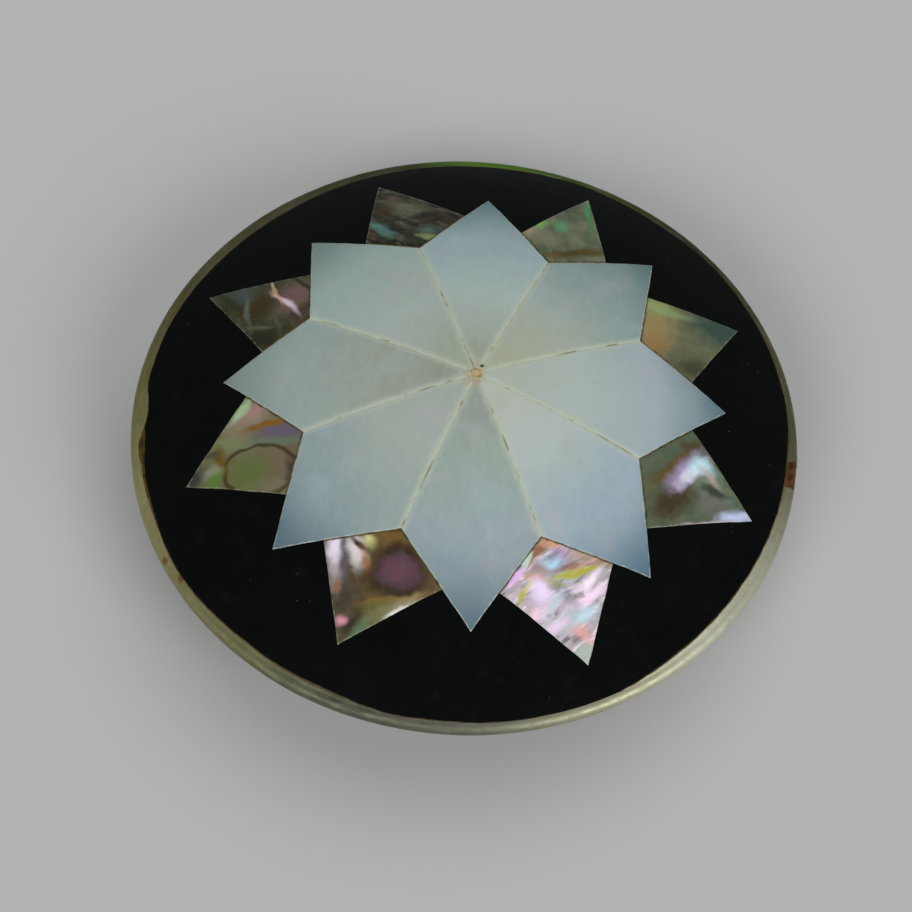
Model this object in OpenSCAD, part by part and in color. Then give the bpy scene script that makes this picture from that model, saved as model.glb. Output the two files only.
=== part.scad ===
// Round hinged pill box of nickel silver. Its domed lid is filled with black resin and
// inlaid with a star of eight pearl petals and eight abalone points.
// Origin: centre of the flat foot. +Z is up, +Y points to the hinge, -Y to the user.

/* [Lid] */
// Outer diameter of the lid over its rim
lid_d = 50; // [49:0.5:54]
// Rise of the polished dome above the rim's top edge
dome_rise = 5.2; // [4.8:0.1:5.8]
// Height of the rim strip
rim_h = 1; // [0.9:0.05:1.3]
// Thickness of the rim strip
rim_t = 0.93; // [0.8:0.01:1.1]
// Thickness of the lid's sheet
lid_sheet = 0.5; // [0.4:0.05:0.6]
// Depth of resin over the lid's sheet at the centre
resin_t = 0.9; // [0.85:0.05:1.1]
// Depth of the ring under the lid that drops inside the base
flange_h = 1.2; // [0.8:0.1:1.4]
// Thickness of that ring
flange_t = 0.5; // [0.4:0.05:0.6]

/* [Base] */
// Height of the base, foot to top edge
base_h = 9; // [8:0.5:12]
// How far the lid's rim stands out past the base all round
overhang = 2.5; // [2.4:0.05:2.7]
// Thickness of the base's sheet
base_sheet = 0.7; // [0.6:0.05:0.8]
// Radius of the base's rounded bottom edge
base_edge_r = 5; // [3:0.5:6]

/* [Hinge] */
// Radius of the hinge barrel
knuckle_r = 0.9; // [0.85:0.05:0.95]
// Length of each of the three knuckles
knuckle_l = 3.4; // [3:0.1:3.6]
// Radius of the hinge pin
pin_r = 0.45; // [0.35:0.05:0.45]
// How far the lid opens, in degrees
open_angle = 105; // [95:1:110]

/* [Inlay] */
// Thickness of the shell pieces
inlay_t = 0.8; // [0.5:0.05:0.8]
// Distance from the star's centre to a petal's tip
petal_len = 18.8; // [17.5:0.1:19]
// Distance from the star's centre to the valley between two petals
valley_len = 13.1; // [12.5:0.1:13.5]
// Distance from the star's centre to the tip of an abalone point
point_len = 22; // [21.5:0.1:22.2]

/* [Hidden] */
$fn = 96;

silver = "silver";
pearl = "lightcyan";
shell_green = "darkseagreen";

// Small distances that keep cuts clean and moving parts apart
cut = 0.5;
lid_gap = 0.05;
flange_gap = 0.15;
leaf_gap = 0.1;
bore_gap = 0.05;

// Levels and radii that follow from the dimensions above
lid_r = lid_d / 2;
closing_z = base_h + lid_gap;
rim_top_z = closing_z + rim_h;
rim_round = 0.45;
field_r = lid_r - rim_t;
dome_r = (field_r * field_r + dome_rise * dome_rise) / (2 * dome_rise);
dome_z = rim_top_z + dome_rise - dome_r;

// Base: straight wall, rounded edge and flat foot
wall_r = lid_r - overhang;
foot_r = wall_r - base_edge_r;
bore_r = wall_r - base_sheet;

// Sheet under the resin: a shallow pressed dome with a flat border
flange_r = bore_r - flange_gap;
mouth_r = flange_r - flange_t;
hollow_rise = rim_h + dome_rise - resin_t - lid_sheet;
hollow_r = (mouth_r * mouth_r + hollow_rise * hollow_rise) / (2 * hollow_rise);
hollow_z = closing_z + hollow_rise - hollow_r;
// The ring is left open round the hinge, so that it swings clear of the wall
flange_open = 76;

// Hinge: the barrel sits in the corner under the rim
hinge_y = wall_r + leaf_gap + knuckle_r;
hinge_z = closing_z - leaf_gap - knuckle_r;
side_gap = 0.1;
leaf_t = 0.4;
leaf_h = 3.2;
leaf_drop = 0.05;
leaf_root = 2;
saddle_in = 0.85;
saddle_out = 0.7;
pin_end = 0.15;

// The open lid's rounded edge comes to rest on the end of a tongue under the barrel
tongue_w = knuckle_l - 0.4;
tongue_t = 0.4;
stop_gap = 0.05;
edge_y = lid_r - rim_round - hinge_y;
edge_z = closing_z + rim_round - hinge_z;
stop_y = hinge_y + edge_y * cos(open_angle) + edge_z * sin(open_angle);
stop_z = hinge_z - edge_y * sin(open_angle) + edge_z * cos(open_angle);

// The rim strip's joint: one end is cut square, the other is slit to a point (degrees)
joint_start = -10.4;
joint_outer = 3.4;
joint_inner = 2.8;
joint_span = 6.1;

// Star: a whole turn holds eight petals. The pieces are cut by hand, so each one is
// a little off in length (mm) and direction (degrees). Petal 1 points to the hinge
// and the others follow clockwise; point 1 lies between petals 1 and 2.
star_at = [0.6, 0.4];
pitch = 45;
petal_more = [-0.3, -0.1, -0.2, 0.3, 0.2, 0.4, -0.2, 0];
petal_turn = [-0.5, 0, 0, -2, 2, 0.5, 1, 0.5];
valley_more = [-0.6, -0.1, 0, 0.1, 0, 0, 0.5, 0];
valley_turn = [-1, -0.5, -1.5, 0.5, 2, 0, 1, -0.5];
point_more = [-0.1, -0.4, 0.1, 0.2, -0.2, 0.1, 0.5, 0];
point_turn = [0.5, 0, 0.5, 1, 0, 0.5, 1, 1];
// Share of the two petal edges beside it that each point runs along
share_before = [0.45, 0.55, 0.6, 0.65, 0.6, 0.55, 0.55, 0.5];
share_after = [0.55, 0.6, 0.6, 0.6, 0.6, 0.7, 0.55, 0.65];
fill_r = 0.5;

function on_rim(r, a) = r * [cos(joint_start + a), sin(joint_start + a)];
function around(r, a) = star_at + r * [cos(a), sin(a)];
function share_of(a, b, s) = a + (b - a) * s;
function bearing(i) = 90 - pitch * i;
function petal_tip(i) = around(petal_len + petal_more[i % 8], bearing(i) + petal_turn[i % 8]);
function valley(i) = around(valley_len + valley_more[i % 8], bearing(i + 0.5) + valley_turn[i % 8]);
function point_tip(i) = around(point_len + point_more[i % 8], bearing(i + 0.5) + point_turn[i % 8]);
function shoulder_before(i) = share_of(valley(i), petal_tip(i), share_before[i % 8]);
function shoulder_after(i) = share_of(valley(i), petal_tip(i + 1), share_after[i % 8]);
function petal_outline(i) = [star_at, valley(i + 7), petal_tip(i), valley(i)];
function point_outline(i) = [valley(i), shoulder_before(i), point_tip(i), shoulder_after(i)];
function star_outline() = [
    for (i = [0:7]) each [petal_tip(i), shoulder_before(i), point_tip(i), shoulder_after(i)]
];

// Solid of revolution of a pan: a flat floor, a rounded edge and a straight wall
module pan(wall, edge, low, high) {
    rotate_extrude() {
        translate([0, low])
            square([wall - edge, high - low]);
        translate([0, low + edge])
            square([wall, high - low - edge]);
        translate([wall - edge, low + edge])
            intersection() {
                circle(r = edge);
                translate([0, -edge])
                    square(edge);
            }
    }
}

// Ball of the polished dome, or one that lies a given depth under it
module dome_ball(depth = 0) {
    translate([0, 0, dome_z])
        sphere(r = dome_r - depth, $fn = 192);
}

// Ball that shapes the sheet under the resin
module hollow_ball(out = 0) {
    translate([0, 0, hollow_z])
        sphere(r = hollow_r + out, $fn = 192);
}

// Prism of an inlay outline, kept to the layer under the polished surface
module inlay(outline) {
    difference() {
        intersection() {
            translate([0, 0, rim_top_z - inlay_t])
                linear_extrude(dome_rise + inlay_t + cut)
                    polygon(outline);
            dome_ball();
        }
        dome_ball(inlay_t);
    }
}

// Cylinder along the hinge axis between two x positions
module barrel(r, x_from, x_to) {
    translate([x_from, hinge_y, hinge_z])
        rotate([0, 90, 0])
            cylinder(h = x_to - x_from, r = r);
}

// Whole ring of the rim strip, before its joint is cut
module rim_ring() {
    rotate_extrude() {
        translate([field_r, closing_z])
            square([rim_t - rim_round, rim_h]);
        translate([field_r, closing_z + rim_round])
            square([rim_t, rim_h - 2 * rim_round]);
        translate([lid_r - rim_round, closing_z + rim_round])
            circle(r = rim_round);
        translate([lid_r - rim_round, rim_top_z - rim_round])
            circle(r = rim_round);
    }
}

// Gap between the strip's two ends
module rim_joint() {
    low_r = field_r - cut;
    high_r = lid_r + cut;
    translate([0, 0, closing_z - cut])
        linear_extrude(rim_h + 2 * cut)
            polygon([
                on_rim(low_r, 0), on_rim(high_r, 0), on_rim(high_r, joint_outer),
                on_rim(field_r + rim_t / 2, joint_span), on_rim(low_r, joint_inner)
            ]);
}

module base_cup() {
    color(silver)
        difference() {
            pan(wall_r, base_edge_r, 0, base_h);
            pan(bore_r, base_edge_r - base_sheet, base_sheet, base_h + cut);
        }
}

// Leaf soldered to the wall: two knuckles, and the tongue that stops the open lid
module base_hinge_leaf() {
    knuckle_x = knuckle_l / 2 + side_gap;
    end_x = knuckle_x + knuckle_l;
    root_y = wall_r - leaf_root;
    low_z = hinge_z - leaf_h;
    color(silver)
        difference() {
            union() {
                for (left_x = [-end_x, knuckle_x]) {
                    barrel(knuckle_r, left_x, left_x + knuckle_l);
                    translate([left_x, root_y, low_z])
                        cube([knuckle_l, leaf_root + leaf_gap + leaf_t, leaf_h]);
                }
                translate([-end_x, root_y, low_z])
                    cube([2 * end_x, leaf_root + leaf_t, leaf_h - knuckle_r - leaf_drop]);
                translate([-tongue_w / 2, root_y, stop_z - tongue_t / 2])
                    cube([tongue_w, stop_y - rim_round - stop_gap - root_y, tongue_t]);
            }
            cylinder(h = base_h + cut, r = wall_r);
            barrel(pin_r, -end_x - cut, end_x + cut);
        }
}

module hinge_pin() {
    half = 1.5 * knuckle_l + side_gap + pin_end;
    color(silver)
        barrel(pin_r, -half, half);
}

// Sheet pressed to a shallow dome, with the flat border that rests on the base
module lid_plate() {
    color(silver)
        difference() {
            union() {
                translate([0, 0, closing_z])
                    cylinder(h = lid_sheet, r = field_r);
                intersection() {
                    hollow_ball(lid_sheet);
                    translate([0, 0, closing_z])
                        cylinder(h = rim_h + dome_rise, r = field_r);
                }
            }
            hollow_ball();
        }
}

module lid_flange() {
    color(silver)
        rotate([0, 0, 90 + flange_open / 2])
            rotate_extrude(angle = 360 - flange_open)
                translate([mouth_r, closing_z - flange_h])
                    square([flange_t, flange_h]);
}

// Middle knuckle with the saddle that is soldered under the rim
module lid_hinge_knuckle() {
    color(silver)
        difference() {
            union() {
                barrel(knuckle_r, -knuckle_l / 2, knuckle_l / 2);
                translate([-knuckle_l / 2, hinge_y - saddle_in, hinge_z])
                    cube([knuckle_l, saddle_in + saddle_out, closing_z - hinge_z]);
            }
            barrel(pin_r + bore_gap, -knuckle_l / 2 - cut, knuckle_l / 2 + cut);
        }
}

module rim_strip() {
    color(silver)
        difference() {
            rim_ring();
            rim_joint();
        }
}

// Brown resin that fills the strip's joint
module joint_fill() {
    color("saddlebrown")
        intersection() {
            rim_ring();
            rim_joint();
        }
}

// Resin poured over the sheet and ground to the dome, with the star's bed cut in it
module resin_field() {
    color("black")
        difference() {
            intersection() {
                dome_ball();
                translate([0, 0, closing_z + lid_sheet])
                    cylinder(h = rim_h + dome_rise, r = field_r);
            }
            hollow_ball(lid_sheet);
            difference() {
                translate([0, 0, rim_top_z - inlay_t])
                    linear_extrude(dome_rise + inlay_t + cut)
                        polygon(star_outline());
                dome_ball(inlay_t);
            }
        }
}

module fill_rod(r) {
    translate([star_at.x, star_at.y, rim_top_z])
        cylinder(h = dome_rise + cut, r = r);
}

// Drop of brown resin where the eight petals meet
module centre_fill() {
    color("saddlebrown")
        difference() {
            intersection() {
                fill_rod(fill_r);
                dome_ball();
            }
            dome_ball(inlay_t);
        }
}

module pearl_petal(i) {
    color(pearl)
        difference() {
            inlay(petal_outline(i));
            fill_rod(fill_r);
        }
}

module abalone_point(i) {
    color(shell_green)
        inlay(point_outline(i));
}

base_cup();
base_hinge_leaf();
hinge_pin();
lid_plate();
lid_flange();
lid_hinge_knuckle();
rim_strip();
joint_fill();
resin_field();
centre_fill();
for (i = [0:7]) {
    pearl_petal(i);
    abalone_point(i);
}
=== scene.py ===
import math

import bpy
import numpy as np
from mathutils import Matrix, Vector, noise
from mathutils.geometry import convex_hull_2d, delaunay_2d_cdt


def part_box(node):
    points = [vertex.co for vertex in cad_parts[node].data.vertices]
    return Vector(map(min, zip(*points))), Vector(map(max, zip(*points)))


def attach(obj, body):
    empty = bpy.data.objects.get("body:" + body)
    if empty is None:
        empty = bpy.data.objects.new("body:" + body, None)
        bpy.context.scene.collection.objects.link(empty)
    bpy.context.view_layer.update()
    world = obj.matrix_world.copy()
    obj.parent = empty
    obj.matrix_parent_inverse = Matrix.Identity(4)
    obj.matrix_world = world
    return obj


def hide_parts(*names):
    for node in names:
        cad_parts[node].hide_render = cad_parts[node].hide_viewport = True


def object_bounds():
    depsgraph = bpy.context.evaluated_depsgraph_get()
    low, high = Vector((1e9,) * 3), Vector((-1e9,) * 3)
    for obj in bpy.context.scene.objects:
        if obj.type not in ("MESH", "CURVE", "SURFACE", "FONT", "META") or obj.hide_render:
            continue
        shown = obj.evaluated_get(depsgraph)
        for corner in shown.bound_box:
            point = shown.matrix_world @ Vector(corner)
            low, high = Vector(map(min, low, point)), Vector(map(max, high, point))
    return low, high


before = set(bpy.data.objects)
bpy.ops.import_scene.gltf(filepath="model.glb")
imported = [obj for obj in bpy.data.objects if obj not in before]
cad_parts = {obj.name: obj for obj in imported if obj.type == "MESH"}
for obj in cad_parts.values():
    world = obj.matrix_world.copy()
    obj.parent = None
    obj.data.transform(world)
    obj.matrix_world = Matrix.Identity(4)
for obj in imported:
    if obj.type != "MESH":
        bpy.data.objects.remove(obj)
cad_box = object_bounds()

# Hinged pill box: a shell star set in black resin on a domed nickel-silver lid.
# Sizes are in mm until a mesh is made, angles in degrees, and colours go from 0 to 255.
MM = 0.001
STAR = range(1, 9)

# Sizes that the frame's boxes don't give
INLAY_T = 0.8
LID_SHEET = 0.5
FLANGE_T = 0.5
FLANGE_OPENING = 76.0
BASE_SHEET = 0.7
BASE_EDGE_R = 5.0

# Saw cuts between pieces, how far the hand-cut edges wander, and their bevel
PETAL_GAP = 0.04
POINT_GAP = 0.03
WANDER = 0.035
BEVEL_W = 0.07
BEVEL_H = 0.03
BEVEL_DEPTHS = (0.05, 0.12, 0.25, 0.45)

# How far the surfaces lie under the CAD dome, and the height of their slow waves
INLAY_SINK = 0.012
RESIN_SINK = 0.016
RIM_SINK = 0.014
WAVE_H = 0.012

# Mesh steps, and a distance that is further than any on a piece
OUTLINE_STEP = 0.12
INLAY_STEP = 0.32
RESIN_STEP = 0.55
FAR = 9.0
SHARP_ANGLE = 35

# How deep the glue goes, and the radius that the pearl's colours are spread over
GLUE_DEPTH = 0.5
STAR_REACH = 19

# Where the brown stain and the dark pit near the centre are, measured from the star's middle
STAIN_AT = np.array([0.0, -0.15])
PINHOLE_AT = np.array([0.36, 0.7])

# The rim strip: its joint's start and width, a crease across it, the share of the strip where
# sections stand closer for the crease, and two rust spots as (angle, radius)
JOINT_START = -10.4
JOINT_TURN = 4.5
CREASE = 8.5
CREASE_SHARES = (12.5 / 355, 16.5 / 355)
RUST_SPOTS = ((213.2, 24.65), (217.7, 24.38))

# How the rim's inner edge strays from a circle: angle, half-width and how far outwards
EDGE_WANDER = (
    (22, 40, 0.28), (5, 9, 0.1), (40, 14, 0.1), (70, 20, 0.2), (108, 14, -0.08), (132, 28, -0.33),
    (150, 16, -0.12), (217, 16, 0.22), (260, 10, 0.15), (282, 34, 0.3), (298, 12, 0.13), (328, 22, -0.1),
)

# The camera's place and aim are measured from the middle of the rim's top
CAMERA_AT = (0.0, -64.62, 104.86)
CAMERA_AIM = (-0.52, -3.58, 0.0)
CAMERA_LENS = 64.9
CAMERA_ROLL = 3.16

# Lights: the direction they come from, strength, width, and whether they show in gloss
SUNS = {
    "left_light": ((-0.42, -0.76, 0.68), 1.3, 26, True),
    "right_light": ((0.55, -0.62, 0.55), 1.4, 30, True),
    "top_light": ((0.15, 0.3, 0.94), 1.2, 60, False),
}
FLOOR_HALF = 3.0


def mm_box(node):
    """Lowest and highest corner of a CAD node, in millimetres."""
    low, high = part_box(node)
    return np.array(low) / MM, np.array(high) / MM


def half_width(node):
    low, high = mm_box(node)
    return (high[0] - low[0]) / 2


rim_low, rim_high = mm_box("rim_strip")
fill_low, fill_high = mm_box("centre_fill")
flange_low, flange_high = mm_box("lid_flange")

lid_r = half_width("rim_strip")
field_r = half_width("resin_field")
wall_r = half_width("base_cup")
flange_r = half_width("lid_flange")
base_top = mm_box("base_cup")[1][2]
closing_z = rim_low[2]
rim_top_z = rim_high[2]
star_at = ((fill_low + fill_high) / 2)[:2]

# The polished dome, and the shallower one of the sheet under it: radius and middle of each sphere
dome_rise = cad_box[1][2] / MM - rim_top_z
dome_r = (field_r**2 + dome_rise**2) / (2 * dome_rise)
dome_mid = rim_top_z + dome_rise - dome_r
mouth_r = flange_r - FLANGE_T
hollow_rise = mm_box("lid_plate")[1][2] - LID_SHEET - closing_z
hollow_r = (mouth_r**2 + hollow_rise**2) / (2 * hollow_rise)
hollow_mid = closing_z + hollow_rise - hollow_r
sheet_r = hollow_r + LID_SHEET
sheet_z = closing_z + LID_SHEET


def dome(x, y, depth=0.0):
    """Height of the polished surface over (x, y), or of one that lies under it."""
    return dome_mid + np.sqrt((dome_r - depth) ** 2 - x**2 - y**2)


def wobble(x, y, size=0.8, seed=0.0):
    """Smooth noise from -1 to 1 over the lid; size is the width of its waves."""
    return noise.noise(Vector((x / size, y / size, seed)))


def hump(value, centre, half):
    """Smooth bump of height 1 round centre that ends half away on each side."""
    t = np.clip(1 - np.abs(value - centre) / half, 0, 1)
    return float(t * t * (3 - 2 * t))


def polar(r, a):
    t = math.radians(a)
    return np.array([r * math.cos(t), r * math.sin(t)])


# ---- meshes

def make_piece(name, points, faces, slot, material, replaced=(), marks=None, body="lid"):
    """Closed mesh from points in mm; marks are numbers kept for each point."""
    mesh = bpy.data.meshes.new(name)
    mesh.from_pydata([tuple(p) for p in np.asarray(points, float) * MM], [], faces)
    mesh.validate()
    mesh.update()
    mesh.polygons.foreach_set("use_smooth", [True] * len(mesh.polygons))
    mesh.set_sharp_from_angle(angle=math.radians(SHARP_ANGLE))
    for mark, values in (marks or {}).items():
        layer = mesh.attributes.new(mark, "FLOAT", "POINT")
        layer.data.foreach_set("value", np.asarray(values, np.float32))
    mesh.materials.append(material)
    piece = bpy.data.objects.new(name, mesh)
    bpy.context.scene.collection.objects.link(piece)
    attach(piece, body)
    if replaced:
        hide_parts(*replaced)


def band(a, b):
    """Quads between two closed runs of point numbers."""
    count = len(a)
    return [(a[k], a[k + 1 - count], b[k + 1 - count], b[k]) for k in range(count)]


def fan(apex, ring):
    """Triangles between one point number and a closed run of them."""
    return [(apex, ring[k], ring[k + 1 - len(ring)]) for k in range(len(ring))]


def flipped(faces):
    return [tuple(face)[::-1] for face in faces]


def swept(loops, wrap=False):
    """Points and faces of a solid whose cross-sections are these loops; wrap closes it to a ring."""
    size = len(loops[0])
    rows = [range(k * size, (k + 1) * size) for k in range(len(loops))]
    pairs = zip(rows, rows[1:] + rows[:1] if wrap else rows[1:])
    faces = [face for here, there in pairs for face in band(here, there)]
    if not wrap:
        faces += [tuple(rows[0])[::-1], tuple(rows[-1])]
    return [p for loop in loops for p in loop], faces


def merged(parts):
    """Several (points, faces) pairs as one."""
    points, faces = [], []
    for more_points, more_faces in parts:
        start = len(points)
        points += more_points
        faces += [tuple(start + k for k in face) for face in more_faces]
    return points, faces


def arc(mid_r, mid_z, radius, start, end, steps):
    """Points of an arc in a (radius, height) profile."""
    turns = np.radians(np.linspace(start, end, steps))
    return [(mid_r + radius * math.cos(t), mid_z + radius * math.sin(t)) for t in turns]


def turned(profile, steps=360):
    """Solid of revolution of a profile that starts and ends on the axis."""
    size = len(profile) - 2
    points = [(*polar(r, 360 * i / steps), z) for i in range(steps) for r, z in profile[1:-1]]
    columns = [range(j, steps * size, size) for j in range(size)]
    faces = [face for near, far in zip(columns, columns[1:]) for face in band(near, far)]
    faces += flipped(fan(len(points), columns[0])) + fan(len(points) + 1, columns[-1])
    return points + [(0, 0, profile[0][1]), (0, 0, profile[-1][1])], faces


# ---- outlines seen from above

def corners_of(node, flat=0.03):
    """Corners of a CAD inlay, counter-clockwise; those that bend less than flat are dropped."""
    seen = {(round(v.co.x / MM, 3), round(v.co.y / MM, 3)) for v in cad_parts[node].data.vertices}
    seen = sorted(seen)
    loop = [np.array(seen[k]) for k in convex_hull_2d([Vector(p) for p in seen])]
    k = 0
    while k < len(loop):
        a, b, c = loop[k - 1], loop[k], loop[(k + 1) % len(loop)]
        k += 1
        if abs(np.cross(c - a, b - a)) / np.linalg.norm(c - a) < flat:
            del loop[k - 1]
            k = 0
    area = sum(np.cross(loop[k - 1], loop[k]) for k in range(len(loop)))
    return loop if area > 0 else loop[::-1]


def inset(corners, amounts):
    """Outline with each edge moved inwards by its own amount; edge k leaves corner k."""
    moved = []
    for k, here in enumerate(corners):
        before = here - corners[k - 1]
        after = corners[(k + 1) % len(corners)] - here
        before, after = before / np.linalg.norm(before), after / np.linalg.norm(after)
        start = here + amounts[k - 1] * np.array([-before[1], before[0]])
        end = here + amounts[k] * np.array([-after[1], after[0]])
        along = np.cross(end - start, after) / np.cross(before, after)
        moved.append(start + along * before)
    return moved


def dense(corners, step=OUTLINE_STEP, closed=True):
    """Points along an outline, each corner kept."""
    points = []
    count = len(corners)
    for k in range(count if closed else count - 1):
        a, b = corners[k], corners[(k + 1) % count]
        parts = max(1, round(np.linalg.norm(b - a) / step))
        points += [a + (b - a) * t / parts for t in range(parts)]
    return points if closed else points + [corners[-1]]


def hand_cut(points):
    """The outline as a saw and a file leave it: neighbours wander together."""
    moved = []
    for x, y in points:
        dx = wobble(x, y, 1.6, 1.0) + 0.5 * wobble(x, y, 0.5, 2.0)
        dy = wobble(x, y, 1.6, 3.0) + 0.5 * wobble(x, y, 0.5, 4.0)
        moved.append(np.array([x + WANDER * dx, y + WANDER * dy]))
    return moved


def distance(points, loop, closed=True):
    """Distance of each point to the nearest stretch of a line of points."""
    points, loop = np.asarray(points), np.asarray(loop)
    a = loop if closed else loop[:-1]
    b = np.roll(loop, -1, axis=0) if closed else loop[1:]
    best = np.full(len(points), np.inf)
    for start, end in zip(a, b):
        run = end - start
        t = np.clip((points - start) @ run / max(run @ run, 1e-12), 0, 1)
        best = np.minimum(best, np.linalg.norm(points - start - t[:, None] * run, axis=1))
    return best


def inside(points, loop):
    """Whether each point lies inside a closed outline."""
    x, y = np.asarray(points).T
    result = np.zeros(len(x), bool)
    for (ax, ay), (bx, by) in zip(loop, loop[1:] + loop[:1]):
        crosses = (ay > y) != (by > y)
        with np.errstate(divide="ignore", invalid="ignore"):
            result ^= crosses & (x < (bx - ax) * (y - ay) / (by - ay) + ax)
    return result


def triangulate(loops, extra, keep):
    """Triangles over the area where keep() is true, with the loops' edges kept."""
    points, edges, runs = [], [], []
    for loop in loops:
        run = range(len(points), len(points) + len(loop))
        edges += [(k, after) for k, after in zip(run, [*run[1:], run[0]])]
        points += loop
        runs.append(run)
    points += list(extra)
    found = delaunay_2d_cdt([Vector(p) for p in points], edges, [], 0, 1e-7, True)
    flat = np.array([tuple(v) for v in found[0]])
    faces = [tuple(f) for f in found[2] if len(f) == 3]
    kept = keep(np.array([flat[list(f)].mean(0) for f in faces]))
    place = {source: k for k, sources in enumerate(found[3]) for source in sources}
    return flat, [f for f, good in zip(faces, kept) if good], [[place[k] for k in run] for run in runs]


def grid_in(loop, step, clear, keep):
    """Staggered grid of points at least clear away from the loop."""
    low, high = np.min(loop, axis=0), np.max(loop, axis=0)
    rows = []
    for j, y in enumerate(np.arange(low[1], high[1], step * 0.866)):
        shift = step / 2 * (j % 2)
        rows += [(x, y) for x in np.arange(low[0] + shift, high[0], step)]
    rows = np.array(rows)
    rows = rows[keep(rows)]
    return rows[distance(rows, loop) > clear]


def rings_in(loop, depths):
    """Points that follow the loop at a few distances inside it, fewer on each ring."""
    result = []
    spots = np.array(loop)
    run = np.roll(spots, -1, axis=0) - np.roll(spots, 1, axis=0)
    run /= np.linalg.norm(run, axis=1)[:, None]
    inward = np.stack([-run[:, 1], run[:, 0]], axis=1)
    for n, depth in enumerate(depths):
        ring = spots[:: n + 1] + inward[:: n + 1] * depth
        result.append(ring[distance(ring, loop) > depth * 0.97])
    return np.concatenate(result)


# ---- nodes for materials

def srgb(red, green, blue):
    """Colour from the usual 0 to 255 values, as the shader wants it."""
    values = []
    for c in (red / 255, green / 255, blue / 255):
        values.append(c / 12.92 if c <= 0.04045 else ((c + 0.055) / 1.055) ** 2.4)
    return (*values, 1.0)


class Finish:
    """One Principled material and short calls that build its nodes."""

    def __init__(self, name, **constants):
        self.material = bpy.data.materials.new(name)
        self.material.use_nodes = True
        self.tree = self.material.node_tree
        self.shader = self.tree.nodes["Principled BSDF"]
        for key, value in constants.items():
            self.shader.inputs[key.replace("_", " ").title().replace("Ior", "IOR")].default_value = value
        place = self.tree.nodes.new("ShaderNodeTexCoord").outputs["Object"]
        self.mm = self.vector("SCALE", place, scale=1 / MM)

    def put(self, socket, value):
        if isinstance(value, bpy.types.NodeSocket):
            self.tree.links.new(value, socket)
        else:
            socket.default_value = value

    def node(self, kind, inputs, **settings):
        """New node; an input of None is the place on the lid in mm."""
        node = self.tree.nodes.new("ShaderNode" + kind)
        for key, value in settings.items():
            setattr(node, key, value)
        for key, value in inputs.items():
            self.put(node.inputs[key], self.mm if value is None else value)
        return node

    def vector(self, operation, a, b=(0, 0, 0), scale=None):
        inputs = {0: a, 1: b} if scale is None else {0: a, "Scale": scale}
        node = self.node("VectorMath", inputs, operation=operation)
        return node.outputs["Value" if operation == "LENGTH" else "Vector"]

    def math(self, operation, a, b=0.0):
        return self.node("Math", {0: a, 1: b}, operation=operation).outputs[0]

    def noise(self, size, detail=2.0, rough=0.5, at=None, colour=False):
        inputs = {"Vector": at, "Scale": 1 / size, "Detail": detail, "Roughness": rough}
        return self.node("TexNoise", inputs).outputs["Color" if colour else "Fac"]

    def between(self, value, low, high, first=0.0, last=1.0):
        """Smooth step: first below low, last above high."""
        if low > high:
            low, high, first, last = high, low, last, first
        inputs = {"Value": value, "From Min": low, "From Max": high, "To Min": first, "To Max": last}
        return self.node("MapRange", inputs, interpolation_type="SMOOTHSTEP").outputs["Result"]

    def uneven(self, size, low, high, detail=3.0):
        """Noise that runs softly from low to high."""
        return self.between(self.noise(size, detail), 0.3, 0.7, low, high)

    def frayed(self, mark, size, low, high):
        """A number kept on the mesh's points, made uneven."""
        kept = self.node("Attribute", {}, attribute_name=mark).outputs["Fac"]
        return self.math("ADD", kept, self.uneven(size, low, high))

    def mix(self, factor, a, b):
        """Blend of two colours or sockets."""
        a, b = (srgb(*c) if isinstance(c, tuple) else c for c in (a, b))
        return self.node("Mix", {0: factor, 6: a, 7: b}, data_type="RGBA").outputs[2]

    def tint(self, tone, value, start, end, weight, colour):
        """The tone, coloured more as the value goes from start to end."""
        return self.mix(self.between(value, start, end, 0, weight), tone, colour)

    def ramp(self, value, stops):
        node = self.node("ValToRGB", {0: value})
        elements = node.color_ramp.elements
        while len(elements) < len(stops):
            elements.new(0.5)
        for element, (place, colour) in zip(elements, stops):
            element.position = place
            element.color = srgb(*colour)
        return node.outputs[0]

    def turned_to(self, place, turn, scale, at=None):
        """Coordinates that start at a place, turned and counted in its scale."""
        inputs = {"Vector": at, "Location": place, "Rotation": (0, 0, math.radians(turn)), "Scale": scale}
        return self.node("Mapping", inputs, vector_type="TEXTURE").outputs[0]

    def ellipse(self, x, y, half_long, half_wide, turn, at=None):
        """0 at the middle of an ellipse on the lid, 1 on its outline, more outside."""
        return self.vector("LENGTH", self.turned_to((x, y, 0), turn, (half_long, half_wide, 1000), at))

    def shifted(self, amount, size, detail=2.0, at=None):
        """Coordinates bent by noise, so that drawn shapes lose their clean outline."""
        drift = self.vector("SUBTRACT", self.noise(size, detail, 0.55, at, True), (0.5, 0.5, 0.5))
        return self.vector("ADD", at, self.vector("SCALE", drift, scale=amount * 2))

    def finished(self, colour, roughness, height, depth):
        """The material with its colour, roughness and a relief that is depth mm high."""
        bump = self.node("Bump", {"Height": height, "Distance": depth * MM})
        self.put(self.shader.inputs["Base Color"], colour)
        self.put(self.shader.inputs["Roughness"], roughness)
        self.put(self.shader.inputs["Normal"], bump.outputs[0])
        return self.material


# ---- materials

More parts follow.
